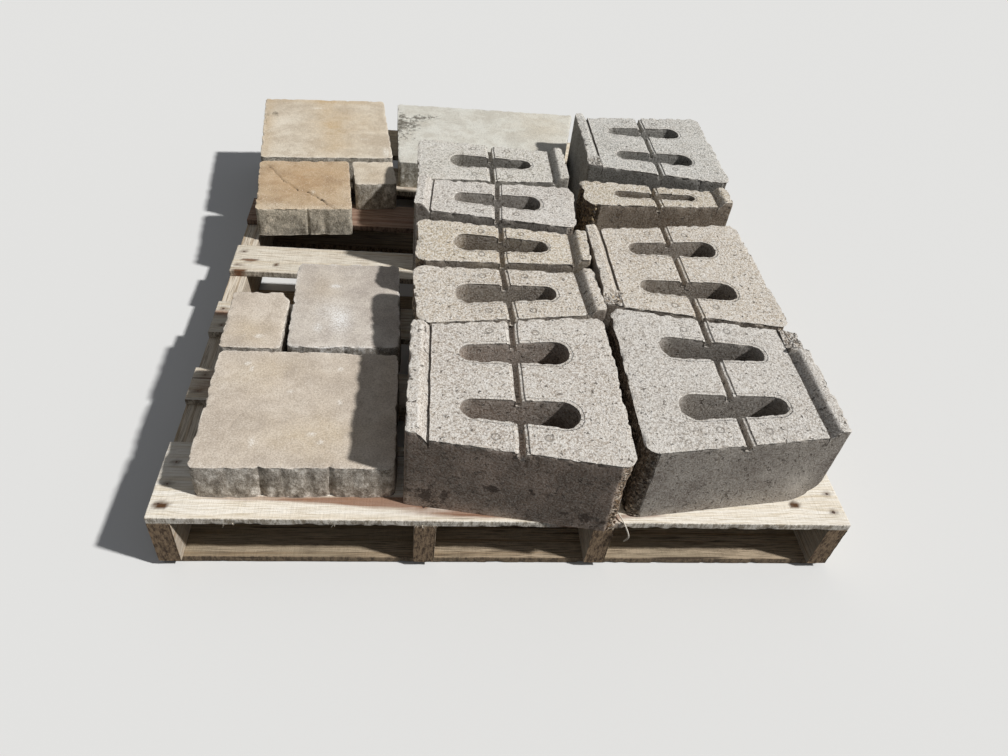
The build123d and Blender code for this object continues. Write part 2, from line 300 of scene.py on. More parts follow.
def dry_cast_concrete(name, pale, body, deep, warm, side, side_deep, split_tone, split_deep):
    """Dry-cast concrete, tamped into a mould and split: a dull open-grained surface with
    sand and fine grit showing as pale and dark specks, small pores, a shallow step where
    the core former stood, drawn with a dark line of painted shade, ejector rings drawn with
    painted shade, bleached arrises, and closer, browner sides, partly damp and partly
    painted shade. Painted shade also darkens the core walls, the groove, the lip's slope
    and foot, and flecks along the arrises. The split face shows rough brown grit."""
    made, node, surface = new_material(name)
    at = node("TexCoord").outputs["Object"]
    wear, damp, stain, split, core_gap = (
        node("Attribute", attribute_name=key).outputs["Fac"]
        for key in ("wear", "damp", "stain", "split", "core_gap")
    )
    bed = node("Attribute", attribute_name="bed").outputs["Vector"]
    cloud, side_cloud, mottle, sand, ragged, pore = (
        node("TexNoise", {"Vector": at, "Scale": 1000 / size, "Detail": detail, "Roughness": rest})
        for size, detail, rest in (
            (110, 5.0, 0.6),  # cloudy tone over a hand's breadth
            (60, 6.0, 0.65),  # the same on the sides
            (12, 5.0, 0.75),  # mottling, a fingertip wide
            (3.0, 3.0, 0.75),  # the open grain, 1 mm wide and drawn 3 mm wide so that it shows
            (20, 7.0, 0.78),  # the ragged edge of a stain
            (8, 4.0, 0.62),  # pores of 2 to 5 mm
        )
    )
    # sand and grit of 1 to 3 mm, drawn 2.5 mm wide so that it shows, and the broken grit of
    # the split face, 4.5 mm wide
    grit, broken = (
        node("TexVoronoi", {"Vector": at, "Scale": 1000 / size})
        for size in (2.5, 4.5)
    )
    grit_value, broken_value = (
        node("SeparateColor", [cells.outputs["Color"]]) for cells in (grit, broken)
    )
    # grit shows less on the sides, under their skin of fines
    show = node("Math", [damp, -0.86, 1.0], operation="MULTIPLY_ADD")
    dark_grit, pale_grit, pale_tips = (
        node("Math", [node("ValToRGB", [value], stops), show], operation="MULTIPLY")
        for value, stops in (
            (grit_value.outputs["Red"], [(0.0, 0.55), (0.12, 0.0)]),
            (grit_value.outputs["Green"], [(0.66, 0.0), (1.0, 0.95)]),
            (sand, [(0.50, 0.0), (0.62, 1.0)]),
        )
    )
    hollows = node("ValToRGB", [sand], [(0.34, 1.0), (0.51, 0.0)])
    pores = node("ValToRGB", [pore], [(0.33, 0.9), (0.38, 0.0)])
    stained = node("Math", [stain, ragged], operation="ADD")
    # the step that the core former leaves 6 mm outside each core, with a broken dark line of
    # painted shade along it
    wavy = node("Math", [mottle, 6.0, core_gap], operation="MULTIPLY_ADD")
    step = node("MapRange", {"Value": wavy, "From Min": 7.8, "From Max": 9.6},
                interpolation_type="SMOOTHSTEP")
    line = node("Math", [wavy, 8.9, 0.7], operation="COMPARE")
    broken_shade_line = node("Math", [line, hollows], operation="MULTIPLY")
    # ejector marks: rings 12 mm across, near the groove at both sides of the bed, each with a dark
    # ring of painted shade
    away = node("VectorMath", [bed], operation="LENGTH")
    ring = node("Math", [away, 0.0054, 0.0013], operation="COMPARE")
    ring_shade_line = node("Math", [ring, 0.55], operation="MULTIPLY")
    # the tone of the bed, and what lies over it in turn: its amount, colour and blend
    colour = node("ValToRGB", [cloud], [(0.34, deep), (0.50, body), (0.68, pale)])
    for amount, coat, blend in (
        (node("ValToRGB", [mottle], [(0.38, 0.0), (0.62, 0.6)]), warm, "MIX"),
        # the side tone: partly damp, and painted shade on the sides, core walls, groove and lip's
        # slope
        (damp, node("ValToRGB", [side_cloud], [(0.40, side_deep), (0.58, side)]), "MIX"),
        (split, node("ValToRGB", [broken_value.outputs["Blue"]],
                     [(0.0, split_deep), (0.55, split_tone), (1.0, warm)]), "MIX"),
        (hollows, "#BCB4AA", "MULTIPLY"),
        (pale_tips, "#F6F1E9", "MIX"),
        (dark_grit, "#857B70", "MIX"),
        (pale_grit, "#ECE6DC", "MIX"),
        (node("Math", [wear, mottle], operation="MULTIPLY"), "#E4DCD0", "MIX"),
        # stains, with painted shade in the groove, along the lip's foot and in flecks along the
        # arrises
        (node("ValToRGB", [stained], [(0.87, 0.0), (0.95, 0.8)]), "#352B24", "MIX"),
        (pores, "#736A60", "MIX"),
        # painted shade: the dark line of the core former's step and of the ejector rings
        (node("Math", [broken_shade_line, ring_shade_line], operation="MAXIMUM"), "#6F665C", "MIX"),
    ):
        colour = node("Mix", [amount, colour, coat], data_type="RGBA", blend_type=blend)
    # relief in parts: mottling and grain, flatter on the sides, then the ring marks, the
    # pores, the step and the split face's grit
    grains = node("Math", [mottle, 1.3, sand], operation="MULTIPLY_ADD")
    flatter = node("Math", [damp, -0.55, 1.0], operation="MULTIPLY_ADD")
    relief = node("Math", [grains, flatter], operation="MULTIPLY")
    chunks = node("Math", [broken, split], operation="MULTIPLY")
    for part, share in ((ring, -1.8), (pores, -1.5), (step, 1.4), (chunks, -2.5)):
        relief = node("Math", [part, share, relief], operation="MULTIPLY_ADD")
    surface({
        "Base Color": colour,
        "Normal": node("Bump", {"Strength": 1.0, "Distance": 0.0016, "Height": relief}),
        "Roughness": 0.92,
        "Specular IOR Level": 0.25,
    })
    return made


def paving_concrete(name, pale, body, deep, tint, side, side_deep, rim):
    """Wet-cast paving: a close, nearly smooth skin with a cloudy tint, fine dark pores and
    a few chalky flecks, over a coarser mottled side. The top arris is ragged and paler."""
    made, node, surface = new_material(name)
    at = node("TexCoord").outputs["Object"]
    wear, damp, stain, hue = (
        node("Attribute", attribute_name=key).outputs["Fac"]
        for key in ("wear", "damp", "stain", "hue")
    )
    cloud, haze, tint_cloud, grain, chalk, ragged = (
        node("TexNoise", {"Vector": at, "Scale": 1000 / size, "Detail": detail,
                          "Roughness": rest, "Distortion": bend})
        for size, detail, rest, bend in (
            (90, 8.0, 0.66, 0.0),  # clouds, broken up down to a fingertip
            (34, 5.0, 0.7, 0.0),  # softer clouds
            (46, 5.0, 0.6, 0.3),  # the tint's patches
            (2.4, 3.0, 0.7, 0.0),  # sand grain of 1 mm, drawn 2.4 mm wide so that it shows
            (24, 6.0, 0.8, 0.0),  # chalky scuffs of 10 mm, few
            (9, 6.0, 0.8, 0.0),  # the ragged edge of a stain
        )
    )
    # side faces: grit and mortar in patches of 12 mm, drawn out downwards by the mould
    down = node("Mapping", {"Vector": at, "Scale": (1000 / 12, 1000 / 12, 1000 / 18)})
    patch = node("TexNoise", {"Vector": down, "Scale": 1.0, "Detail": 6.0, "Roughness": 0.75})
    side_tone = node("ValToRGB", [patch], [(0.38, side_deep), (0.51, side), (0.66, rim)])
    # worn rims and scuffs break up into specks
    speck = node("ValToRGB", [grain], [(0.42, 0.15), (0.60, 1.0)])
    stained = node("Math", [stain, ragged], operation="ADD")
    colour = node("ValToRGB", [cloud], [(0.36, deep), (0.50, body), (0.66, pale)])
    for amount, coat in (
        (node("ValToRGB", [haze], [(0.38, 0.75), (0.54, 0.0)]), deep),
        (node("Math", [tint_cloud, hue], operation="MULTIPLY"), tint),
        (damp, side_tone),
        (node("ValToRGB", [grain], [(0.34, 0.4), (0.52, 0.0)]), "#857868"),
        (node("ValToRGB", [grain], [(0.54, 0.0), (0.70, 0.5)]), "#EFE7DA"),
        (node("ValToRGB", [chalk], [(0.67, 0.0), (0.72, 0.7)]), "#F2ECE2"),
        (node("Math", [wear, speck], operation="MULTIPLY"), rim),
        # stains, and painted shade along the cracks
        (node("ValToRGB", [stained], [(0.79, 0.0), (0.88, 0.85)]), "#4A4234"),
    ):
        colour = node("Mix", [amount, colour, coat], data_type="RGBA")
    # the patches stand out more on the sides than on the top
    strength = node("Math", [damp, 0.95, 0.35], operation="MULTIPLY_ADD")
    height = node("Math", [patch, strength], operation="MULTIPLY")
    relief = node("Math", [grain, 0.4, height], operation="MULTIPLY_ADD")
    surface({
        "Base Color": colour,
        "Normal": node("Bump", {"Strength": 0.8, "Distance": 0.002, "Height": relief}),
        "Roughness": 0.88,
        "Specular IOR Level": 0.25,
    })
    return made


def sawn_softwood(name, early, late, grey, dirt, edge, edge_deep, coverage):
    """Rough-sawn pine, left outdoors: straight grain as soft bands of pale early wood and
    browner late wood, raised fuzzy fibres, grey weathering and dirt in the low places,
    darker knots. The grain runs along the first part of the grain attribute."""
    made, node, surface = new_material(name)
    along = node("Attribute", attribute_name="grain").outputs["Vector"]
    knot, wear, stain = (
        node("Attribute", attribute_name=key).outputs["Fac"] for key in ("knot", "wear", "stain")
    )
    # how often each pattern comes in a metre along, across and through the wood
    growth, fibre, patch, saw_row, torn, crack = (
        node("TexNoise", {"Vector": node("Mapping", {"Vector": along, "Scale": often}),
                          "Scale": 1.0, "Detail": detail, "Roughness": rest, "Distortion": bend})
        for often, detail, rest, bend in (
            # growth rings cut lengthwise: bands about 7 mm wide, over half a metre long
            ((1.5, 150.0, 120.0), 3.0, 0.55, 0.4),
            # fibres of under 1 mm, drawn 2 mm wide so that they show
            ((22.0, 560.0, 560.0), 3.0, 0.65, 0.0),
            # grey weathering in patches of 60 by 250 mm
            ((4.0, 16.0, 16.0), 5.0, 0.62, 0.0),
            # marks of the saw across the grain, 4 mm apart
            ((260.0, 22.0, 22.0), 4.0, 0.7, 0.0),
            # torn fibres on the sawn edges and ends, 5 mm wide and 15 mm high
            ((1000 / 6, 1000 / 5, 1000 / 15), 6.0, 0.8, 0.0),
            # drying cracks: a few hairlines along the grain
            ((5.0, 150.0, 150.0), 1.0, 0.5, 0.0),
        )
    )
    cracks = node("ValToRGB", [crack], [(0.255, 0.85), (0.29, 0.0)])
    stained = node("Math", [patch, stain], operation="ADD")
    colour = node("ValToRGB", [growth], [(0.36, late), (0.52, early)])
    for amount, coat in (
        (node("ValToRGB", [fibre], [(0.38, 0.78), (0.54, 0.0)]), dirt),
        (node("ValToRGB", [patch], [(0.42, 0.0), (0.62, coverage)]), grey),
        (wear, node("ValToRGB", [torn], [(0.42, edge_deep), (0.56, edge)])),
        (cracks, "#3B2D21"),
        (knot, "#53371F"),
        (node("ValToRGB", [stained], [(0.72, 0.0), (1.0, 0.85)]), "#8A5C3E"),
    ):
        colour = node("Mix", [amount, colour, coat], data_type="RGBA")
    sawn = node("Math", [saw_row, 1.1, torn], operation="MULTIPLY_ADD")
    height = node("Math", [fibre, 0.8, sawn], operation="MULTIPLY_ADD")
    relief = node("Math", [height, cracks], operation="SUBTRACT")
    surface({
        "Base Color": colour,
        "Normal": node("Bump", {"Strength": 0.6, "Distance": 0.0014, "Height": relief}),
        "Roughness": 0.85,
        "Specular IOR Level": 0.35,
    })
    return made


# ---------------------------------------------------------------- wall blocks

BLOCK_DEPTH = 312.0
BLOCK_HEIGHT = 142.0
LIP_HEIGHT = 10.4
LIP_TOP = 152.4
REAR, FACE = -BLOCK_DEPTH / 2, BLOCK_DEPTH / 2
REAR_CORNER = 5.0
SPLIT_CORNER = 24.0
CORE_REAR, CORE_FACE = REAR + 74.0, REAR + 74.0 + 166.0
# half the wall between the two cores of a large block
HALF_WEB = 40.0
# of each kind: taper of a side, round of a face's corner, radii of a core's rear and face
# ends, and the core's half widths there
KINDS = {
    "large": (45.0, SPLIT_CORNER, (16.0, 24.0), (17.0, 26.0)),
    "small": (21.0, SPLIT_CORNER, (16.0, 24.0), (17.0, 26.0)),
    "narrow": (19.0, 9.0, (8.0, 12.0), (9.0, 13.0)),
}
# the surface lies this far inside the sides of the solid
INSET = 0.4
# where the lip's flat top ends, where its slope meets the bed, and half the shallow recess
# that the groove lies in
LIP_EDGE, LIP_FOOT, RECESS = -140.0, -124.0, 9.4
# rows of the grid over the lip's slope, and over half of the groove
LIP_ROWS = np.array((LIP_EDGE, -137.8, -135.8, -133.3, -130.8, -128.3, -125.8, -124.7, LIP_FOOT))
GROOVE_ROWS = np.array((0.0, 1.8, 3.5, 3.65, 3.85, 4.0, 4.8, 6.8, 8.8, RECESS))
# side view of the bed, from the rear: lip, slope, a step up to the bed, the groove in its
# recess, and the bed to the face
BED_LINE = (
    (REAR, LIP_TOP), (LIP_EDGE, LIP_TOP), (-137.8, 151.6), (-135.8, 149.8), (-125.8, 137.4),
    (-124.7, 137.2), (LIP_FOOT, BLOCK_HEIGHT), (-RECESS, BLOCK_HEIGHT), (-8.8, 140.1),
    (-4.8, 139.4), (-4.0, 137.6), (-3.5, 129.5), (3.5, 129.5), (4.0, 137.6), (4.8, 139.4),
    (8.8, 140.1), (RECESS, BLOCK_HEIGHT), (FACE, BLOCK_HEIGHT),
)
# broken end of the narrow block: shares of the half width, and depths of the break
NARROW_BREAKS = ((-1.0, -0.57, -0.13, 0.45, 1.0), (8.0, 0.5, 10.0, 3.0, 17.0))
# rear bottom edge of the block that lost it
WORN_FOOT = 46.0


def block_rows(core_radii, spacing):
    """Places along a block from rear to face, close together wherever its line turns:
    r(1 - cos a) apart at round ends."""
    bend = 1 - np.cos(np.radians(np.arange(0, 91, 15)))
    rear_round = CORE_REAR + core_radii[0] * bend
    face_round = (CORE_FACE - core_radii[1] * bend)[::-1]
    few = np.array((0.0, 1.6, 4.0, 7.0))
    past_core = np.array((0.0, 1.5, 3.0, 4.5, 6.0, 7.5, 9.5))
    return joined(
        REAR + REAR_CORNER * bend,
        stations(REAR + REAR_CORNER, LIP_EDGE, spacing, few[:3], few[:2]),
        LIP_ROWS,
        stations(LIP_FOOT, CORE_REAR, spacing, few[:2], few),
        rear_round,
        stations(rear_round[-1], -RECESS, spacing, few[:2], few[:2]),
        -GROOVE_ROWS[::-1],
        GROOVE_ROWS,
        stations(RECESS, face_round[0], spacing, few[:2], few[:2]),
        face_round,
        stations(CORE_FACE, FACE - SPLIT_CORNER, spacing, past_core, few[:2]),
        (FACE - SPLIT_CORNER * bend)[::-1],
    )


def wall_block(name, material, x, y, turn, face_width, seed, broken_lip=0, broken_edge=False,
               slot_name="grey_wall_blocks", stains=(), scuffs=(), spacing=4.5):
    """A wall block that lies with its rear lip up. Over the three parameters of its grid,
    length, width and height: the half width tapers evenly from face to rear less the
    round of the corners, the height follows the bed's side line, and the cores are cells
    left out, bounded by lines that close in a round at both ends. Then the arrises are
    worn round, the split face is broken back by random heights, and the rest gets
    shallow random dents."""
    kind = name.split("_")[0]
    taper, corner, radii, core_halves = KINDS[kind]
    along = block_rows(radii, spacing)
    half = face_width / 2 - INSET - taper * (FACE - along) / BLOCK_DEPTH
    half -= round_off(FACE - along, corner)
    half -= round_off(along - REAR, REAR_CORNER)
    inside = np.clip(along, CORE_REAR, CORE_FACE)
    core = np.interp(inside, (CORE_REAR, CORE_FACE), core_halves)
    line = core + HALF_WEB if kind == "large" else 0 * core
    core = core - round_off(inside - CORE_REAR, radii[0]) - round_off(CORE_FACE - inside, radii[1])
    # lines that part the width: sides and core walls, and the usual width of each part
    if kind == "large":
        lines = np.stack([-half, -line - core, -line + core, line - core, line + core, half], 1)
        outer_width = 60
    else:
        lines = np.stack([-half, -core, core, half], 1)
        outer_width = half.mean() - core.mean()
    near_core, core_part = np.array((0.0, 0.8, 1.8, 3.2, 5.2, 6.6, 8.6)), (0.0, 1.0)
    parts = [
        stations(0, outer_width, 4.5, EDGE, near_core),
        core_part,
        stations(0, outer_width, 4.5, near_core, EDGE),
    ]
    if kind == "large":
        parts[1:2] = [core_part, stations(0, 86, 4.5, near_core, near_core), core_part]
    columns, is_core = [], []
    for left, part in enumerate(parts):
        part = shares(np.array(part))
        span = lines[:, left : left + 1] * (1 - part) + lines[:, left + 1 : left + 2] * part
        columns.append(span[:, :-1])
        is_core += [len(part) == 2] * (len(part) - 1)
    across = np.concatenate([*columns, lines[:, -1:]], axis=1)
    levels = shares(stations(0, BLOCK_HEIGHT, 4.8, np.array((0.0, 1.5, 4.0)), EDGE))
    rows = np.broadcast_to(along[:, None], across.shape)
    bed = np.broadcast_to(np.interp(along, *zip(*BED_LINE))[:, None], across.shape)

    def plan_rough(size, seed, stretch=1.0):
        spot = np.stack([rows.ravel() * stretch, across.ravel(), np.zeros(across.size)], 1)
        return rough(spot, size, seed).reshape(across.shape)

    wobble = 1.2 * plan_rough(22.0, seed + 5, 0.25)
    wobble *= ease(rows, REAR + 2, REAR + 14) * ease(-rows, -FACE + 30, -FACE + 60)
    if broken_lip:
        # one end of the lip is broken off aslant, in lumps
        slant = BLOCK_HEIGHT + LIP_HEIGHT * (across + half[0] + REAR_CORNER - broken_lip) / 16.0
        slant += 4.5 * plan_rough(10.0, seed + 9)
        slant = np.maximum(slant, BLOCK_HEIGHT + (1.6 + 3.4 * plan_rough(11.0, seed + 14)))
        bed = np.where((rows < LIP_FOOT - 0.2) & (slant < LIP_TOP - 0.4), slant, bed)
    grid = np.stack(np.broadcast_arrays(
        (rows + wobble)[..., None], across[..., None], bed[..., None] * levels
    ), -1)
    cored = (along >= CORE_REAR - 0.01) & (along <= CORE_FACE + 0.01)
    in_core = (cored[:-1] & cored[1:])[:, None] & np.array(is_core)
    points, faces, grid_places = skin(grid, ~in_core[..., None])
    depth = bed[grid_places[:, 0], grid_places[:, 1]] - points[:, 2]

    # outer line and core lines in plan, each with the material on its left
    gap, way = nearest_side(points[:, :2], closed_line(along, -half, half))
    core_gap, core_way = np.full(len(points), 1e9), np.zeros((len(points), 2))
    for middle in (line, -line) if kind == "large" else (line,):
        loop = closed_line(along[cored], (middle + core)[cored], (middle - core)[cored])
        new_gap, new_way = nearest_side(points[:, :2], loop)
        core_way = np.where((new_gap < core_gap)[:, None], new_way, core_way)
        core_gap = np.minimum(core_gap, new_gap)
    # ragged arrises: worn by about 1 mm, with small chips, and a few of 8 mm
    outer_wear = 1.3 + 1.0 * rough(points, 8.0, seed + 1, 2)
    outer_wear += 4.6 * ease(rough(points, 15.0, seed + 2), 0.1, 0.55)
    outer_wear += 6.0 * ease(rough(points, 36.0, seed + 12), 0.42, 0.7)
    core_wear = 1.0 + 0.6 * rough(points, 8.0, seed + 3, 2)
    core_wear += 1.8 * ease(rough(points, 13.0, seed + 13), 0.2, 0.6)
    depth = wear_down(points, gap, way, depth, np.clip(outer_wear, 0.5, 12.0))
    depth = wear_down(points, core_gap, core_way, depth, np.clip(core_wear, 0.5, 12.0))
    # the split face and its corners, broken back from their plane
    edge_noise = 7.0 * rough(points, 26.0, seed + 15)
    split = ease(points[:, 0] + edge_noise, FACE - 25, FACE - 19)
    broken = 4.0 + 4.0 * rough(points, 60.0, seed + 6, 2)
    points[:, 0] -= ease(points[:, 0], FACE - 34, FACE) * np.maximum(broken, 0.3)
    if kind == "narrow":
        depths = np.interp(points[:, 1] / (face_width / 2), *NARROW_BREAKS)
        points[:, 0] -= ease(points[:, 0], FACE - 60, FACE - 10) * np.maximum(depths - 4, 0)
    if broken_edge:
        # the rear bottom edge is worn away in a wide round
        run, radius = points[:, 0] - REAR, WORN_FOOT + 3 * rough(points, 40.0, seed + 4)
        new_run, points[:, 2] = worn_edge(run, points[:, 2], radius)
        points[:, 0] += new_run - run
    # dents everywhere, inwards: shallow, and deep and lumpy on the split
    off_bed = ease(depth, 0.2, 1.5)
    dents = 0.3 + 0.3 * rough(points, 13.0, seed + 8)
    dents += 1.3 * ease(rough(points, 9.0, seed + 10, 2), 0.5, 0.8)
    dents += off_bed * (0.5 + 0.5 * rough(points, 48.0, seed + 16, 2))
    # crumbs broken out right along every arris
    crumbs = np.maximum(np.exp(-(gap + depth) / 4.4), 0.55 * np.exp(-(core_gap + depth) / 3.4))
    dents += crumbs * np.clip(0.7 + 8.0 * rough(points, 9.0, seed + 17, 2), 0, 5.0)
    lumps = 2.4 + 3.2 * rough(points, 22.0, seed + 7)
    lumps += 1.8 * np.abs(rough(points, 9.0, seed + 11, 2))
    dents += split * off_bed * np.maximum(lumps, 0)
    points -= normals(points, faces) * dents[:, None]
    points[:, 2] = np.maximum(points[:, 2], 0.0)

    # what the finish reads. fade is 1 on the bed and falls off within 3 mm below it
    side = ease(depth, 1.2, 3.5)
    fade = np.exp(-depth / 3.0)
    wear = np.exp(-np.minimum(gap, core_gap * 1.6) / 4.0) * fade
    station = along[grid_places[:, 0]]
    near_top = ease(points[:, 2], BLOCK_HEIGHT - 24.0, BLOCK_HEIGHT - 18.0)
    # random stains on the bed, painted shade in the groove and along the lip's foot, dark flecks of
    # painted shade along the arrises, and real stains low on the front side
    stain = 0.12 + 0.10 * near_top * (np.abs(station) < 4.1)
    stain += 0.5 * near_top * np.exp(-((station - LIP_FOOT + 0.4) ** 2))
    stain += 0.16 * np.exp(-np.minimum(gap, core_gap) / 3.0) * fade
    stain += spots(points[:, ::2], stains) * (points[:, 1] < 0) * side
    # damp and painted shade: the sides, partly damp and partly painted shade; painted shade on the
    # core walls, the lip's slope and in the groove
    damp = side * np.where(core_gap < 2.0, 0.85, 1.0)
    damp = np.maximum(damp, 0.3 * near_top * ease(-np.abs(station + 131.0), -6.5, -4.5))
    damp = np.maximum(damp, 0.65 * near_top * (np.abs(station) < 3.9))
    split = split * off_bed
    if broken_lip:
        past_break = -points[:, 1] - half[0] - REAR_CORNER + broken_lip + 6
        rubble = (station < LIP_FOOT - 0.2) * (1 - side) * ease(past_break, -5.0, 3.0)
        split = np.maximum(split, rubble)
    for sx, sy, sz, reach, strength in scuffs:
        wear += strength * np.exp(-((points - (sx, sy, sz)) ** 2).sum(1) / reach**2)
    # places of the bed from the middle of the ring marks, which lie alike in its quarters;
    # a narrow block has none
    ring_at = {"large": 110.0, "small": face_width / 2 - 32.0, "narrow": 1000.0}[kind]
    bed_place = (np.abs(points) * (1, 1, 0) - (36.0, ring_at, 0.0)) * METRE
    bed_place[:, 2] = 0.02 * side
    piece(
        f"block_{name}", f"wall_block_{name}", placed(points, x, y, turn), faces, material,
        slot_name, wear=np.clip(wear, 0, 1), damp=damp, stain=stain, split=split,
        bed=bed_place, core_gap=np.where(side > 0.5, 0.0, np.minimum(core_gap, 30.0)),
    )


# ---------------------------------------------------------------- slabs and pavers

SLAB_THICKNESS = 62.0
LOBE = 3.3


def side_line(start, end, at, levels, lobes, start_cut, end_cut, joints):
    """One side of a slab at each height, from the middle of one corner to the middle of
    the next, at these shares of it. Between corners it stands out by b(1 - (2f - 1)^2), f
    being the share of the lobe that is passed, and b grows from a third at the top to the
    whole lobe at the foot. A joint is a V of this depth and half width at its share. A
    cut is a radius, or how far a clipped corner goes along this side and into it."""
    start, end = np.array(start), np.array(end)
    length = np.linalg.norm(end - start)
    way = (end - start) / length
    outward = np.array((way[1], -way[0]))
    ends = [
        cut[0] / 2 if isinstance(cut, tuple) else cut * (1 - np.sqrt(0.5))
        for cut in (start_cut, end_cut)
    ]
    s = ends[0] + at * (length - ends[0] - ends[1])
    out = np.zeros(len(s))
    for cut, distance in ((start_cut, s), (end_cut, length - s)):
        if isinstance(cut, tuple):
            out -= cut[1] * np.clip(1 - distance / cut[0], 0, 1)
        else:
            out -= round_off(distance, cut)
    out = np.repeat(out[:, None], len(levels), 1)
    low = 1 - 0.67 * ease(levels, 12.0, SLAB_THICKNESS)[None]
    if lobes:
        f = (s / length * lobes) % 1.0
        clear = ((s > ends[0]) & (s < length - ends[1]))[:, None]
        out += LOBE * (1 - (2 * f[:, None] - 1) ** 2) * clear * low
    for share, depth, reach in joints:
        notch = depth * np.clip(1 - np.abs(s / length - share) * length / reach, 0, 1)
        out -= notch[:, None] * (0.35 + 0.65 * low)
    return start + s[:, None, None] * way + out[..., None] * outward


def with_joints(length, joints, spacing):
    """Shares of a side, even but close together at its ends and at its joints."""
    places = [0.0, *sorted({share * length for share, _, _ in joints}), length]
    near = np.array((0.0, 1.2, 2.6, 4.5))
    return shares(joined(*(
        stations(a, b, spacing, EDGE if a == 0 else near, EDGE if b == length else near)
        for a, b in zip(places[:-1], places[1:])
    )))


def paving_slab(node, material, place, corners, seed, slot_name="grey_slabs", lobes=(0,) * 4,
                cuts=(9,) * 4, joints=((),) * 4, top_wear=1.4, cleft=(), hues=(), stains=(),
                scuffs=(), spacing=4.5):
    """A slab. At each height, a point at shares s and t of the plan is the sum of the
    lines between opposite sides less the plane between the corners. Its top arris is worn
    ragged, its sides are broken back a little by random heights, and a cleft is a line
    across the top, beside which one side lies lower by e^(-distance)."""
    corner_cuts = [(c, c[::-1]) if isinstance(c, tuple) else (c, c) for c in cuts]
    columns, rows = (
        with_joints(
            np.linalg.norm(np.subtract(corners[k], corners[k - 3])),
            (*joints[k], *((1 - share, depth, reach) for share, depth, reach in joints[k + 2])),
            spacing,
        )
        for k in (0, 1)
    )
    levels = stations(0, SLAB_THICKNESS, 4.5, np.array((0.0, 1.2, 3.0)), EDGE)
    front, right, back, left = (
        side_line(corners[k], corners[k - 3], at, levels, lobes[k],
                  corner_cuts[k][1], corner_cuts[k - 3][0], joints[k])
        for k, at in enumerate((columns, rows, 1 - columns, 1 - rows))
    )
    s, t = columns[:, None, None, None], rows[None, :, None, None]
    plan = (1 - t) * front[:, None] + t * back[:, None] + (1 - s) * left[None] + s * right[None]
    plan -= (1 - s) * (1 - t) * front[0] + s * (1 - t) * front[-1]
    plan -= (1 - s) * t * back[0] + s * t * back[-1]
    grid = np.empty((*plan.shape[:3], 3))
    grid[..., :2] = plan
    grid[..., 2] = levels
    points, faces, grid_places = skin(grid)
    outline = np.concatenate([
        front[:, -1], right[1:, -1], back[::-1, -1][1:], left[::-1, -1][1:-1]
    ])
    gap, way = nearest_side(points[:, :2], outline)
    last = (len(columns) - 1, len(rows) - 1)
    gap[(grid_places[:, :2] % last == 0).any(1)] = 0.0
    depth = SLAB_THICKNESS - points[:, 2]
    radius = top_wear + 0.9 * rough(points, 8.0, seed, 2)
    radius += 3.4 * ease(rough(points, 15.0, seed + 1), 0.12, 0.6)
    radius += 4.0 * ease(rough(points, 44.0, seed + 7), 0.4, 0.7)
    wear_down(points, gap, way, depth, np.clip(radius, 0.6, 10.0))
    side = ease(depth, 1.0, 3.0)
    top = 1 - side
    # dents: uneven sides, a nearly even top, and a few shallow pits in it
    dents = side * (1.0 + 0.9 * rough(points, 13.0, seed + 3) + 0.9 * rough(points, 34.0, seed + 4))
    dents += top * (0.5 + 0.25 * rough(points, 38.0, seed + 5, 4))
    dents += top * 1.2 * ease(rough(points, 15.0, seed + 8), 0.62, 0.85)
    stain = np.full(len(points), 0.10)
    for start, end, drop, notch in cleft:
        step = np.subtract(end, start)
        long = np.linalg.norm(step)
        step = step / long
        off = points[:, :2] - start
        run = off @ step
        aside = off @ (step[1], -step[0]) + 4.0 * rough(points, 20.0, seed + 9)
        distance = np.hypot(aside, run - np.clip(run, 0, long))
        line = np.exp(-((distance / 2.0) ** 2)) * top
        dents += notch * line + drop * ease(aside, -0.8, 0.8) * np.exp(-distance / 22.0) * top
        # painted shade along the crack, carried by the stain
        stain += 0.15 * notch * line
    # crumbs broken out right along the top arris
    crumbs = np.clip(0.6 + 6.0 * rough(points, 9.0, seed + 10, 2), 0, 3.8)
    dents += np.exp(-(gap + depth) / 3.6) * crumbs
    points -= normals(points, faces) * np.maximum(dents, 0.4)[:, None]
    points[:, 2] = np.maximum(points[:, 2], 0.0)
    wear = 0.7 * np.exp(-gap / 3.0) * top + 0.6 * side * np.exp(-depth / 15.0)
    wear = wear * (1.0 + 0.7 * rough(points, 18.0, seed + 6)) + spots(points, scuffs)
    piece(
        node.replace("_", "_cast_"), node, placed(points, *place), faces, material, slot_name,
        wear=np.clip(wear, 0, 1), damp=side, stain=stain + spots(points, stains),
        hue=np.clip(0.25 + spots(points, hues), 0, 1.5),
    )


def rectangle(width, depth, bulge=0.0):
    """Corners of a slab of this size, its sides drawn in by what their lobes stand out."""
    a, b = width / 2 - bulge, depth / 2 - bulge
    return [(-a, -b), (a, -b), (a, b), (-a, b)]


# ---------------------------------------------------------------- timber

PALLET_WIDTH, PALLET_DEPTH = 1016.0, 1219.2
BOARD = 12.7
STRINGER_WIDTH, STRINGER_HEIGHT = 32.0, 88.9


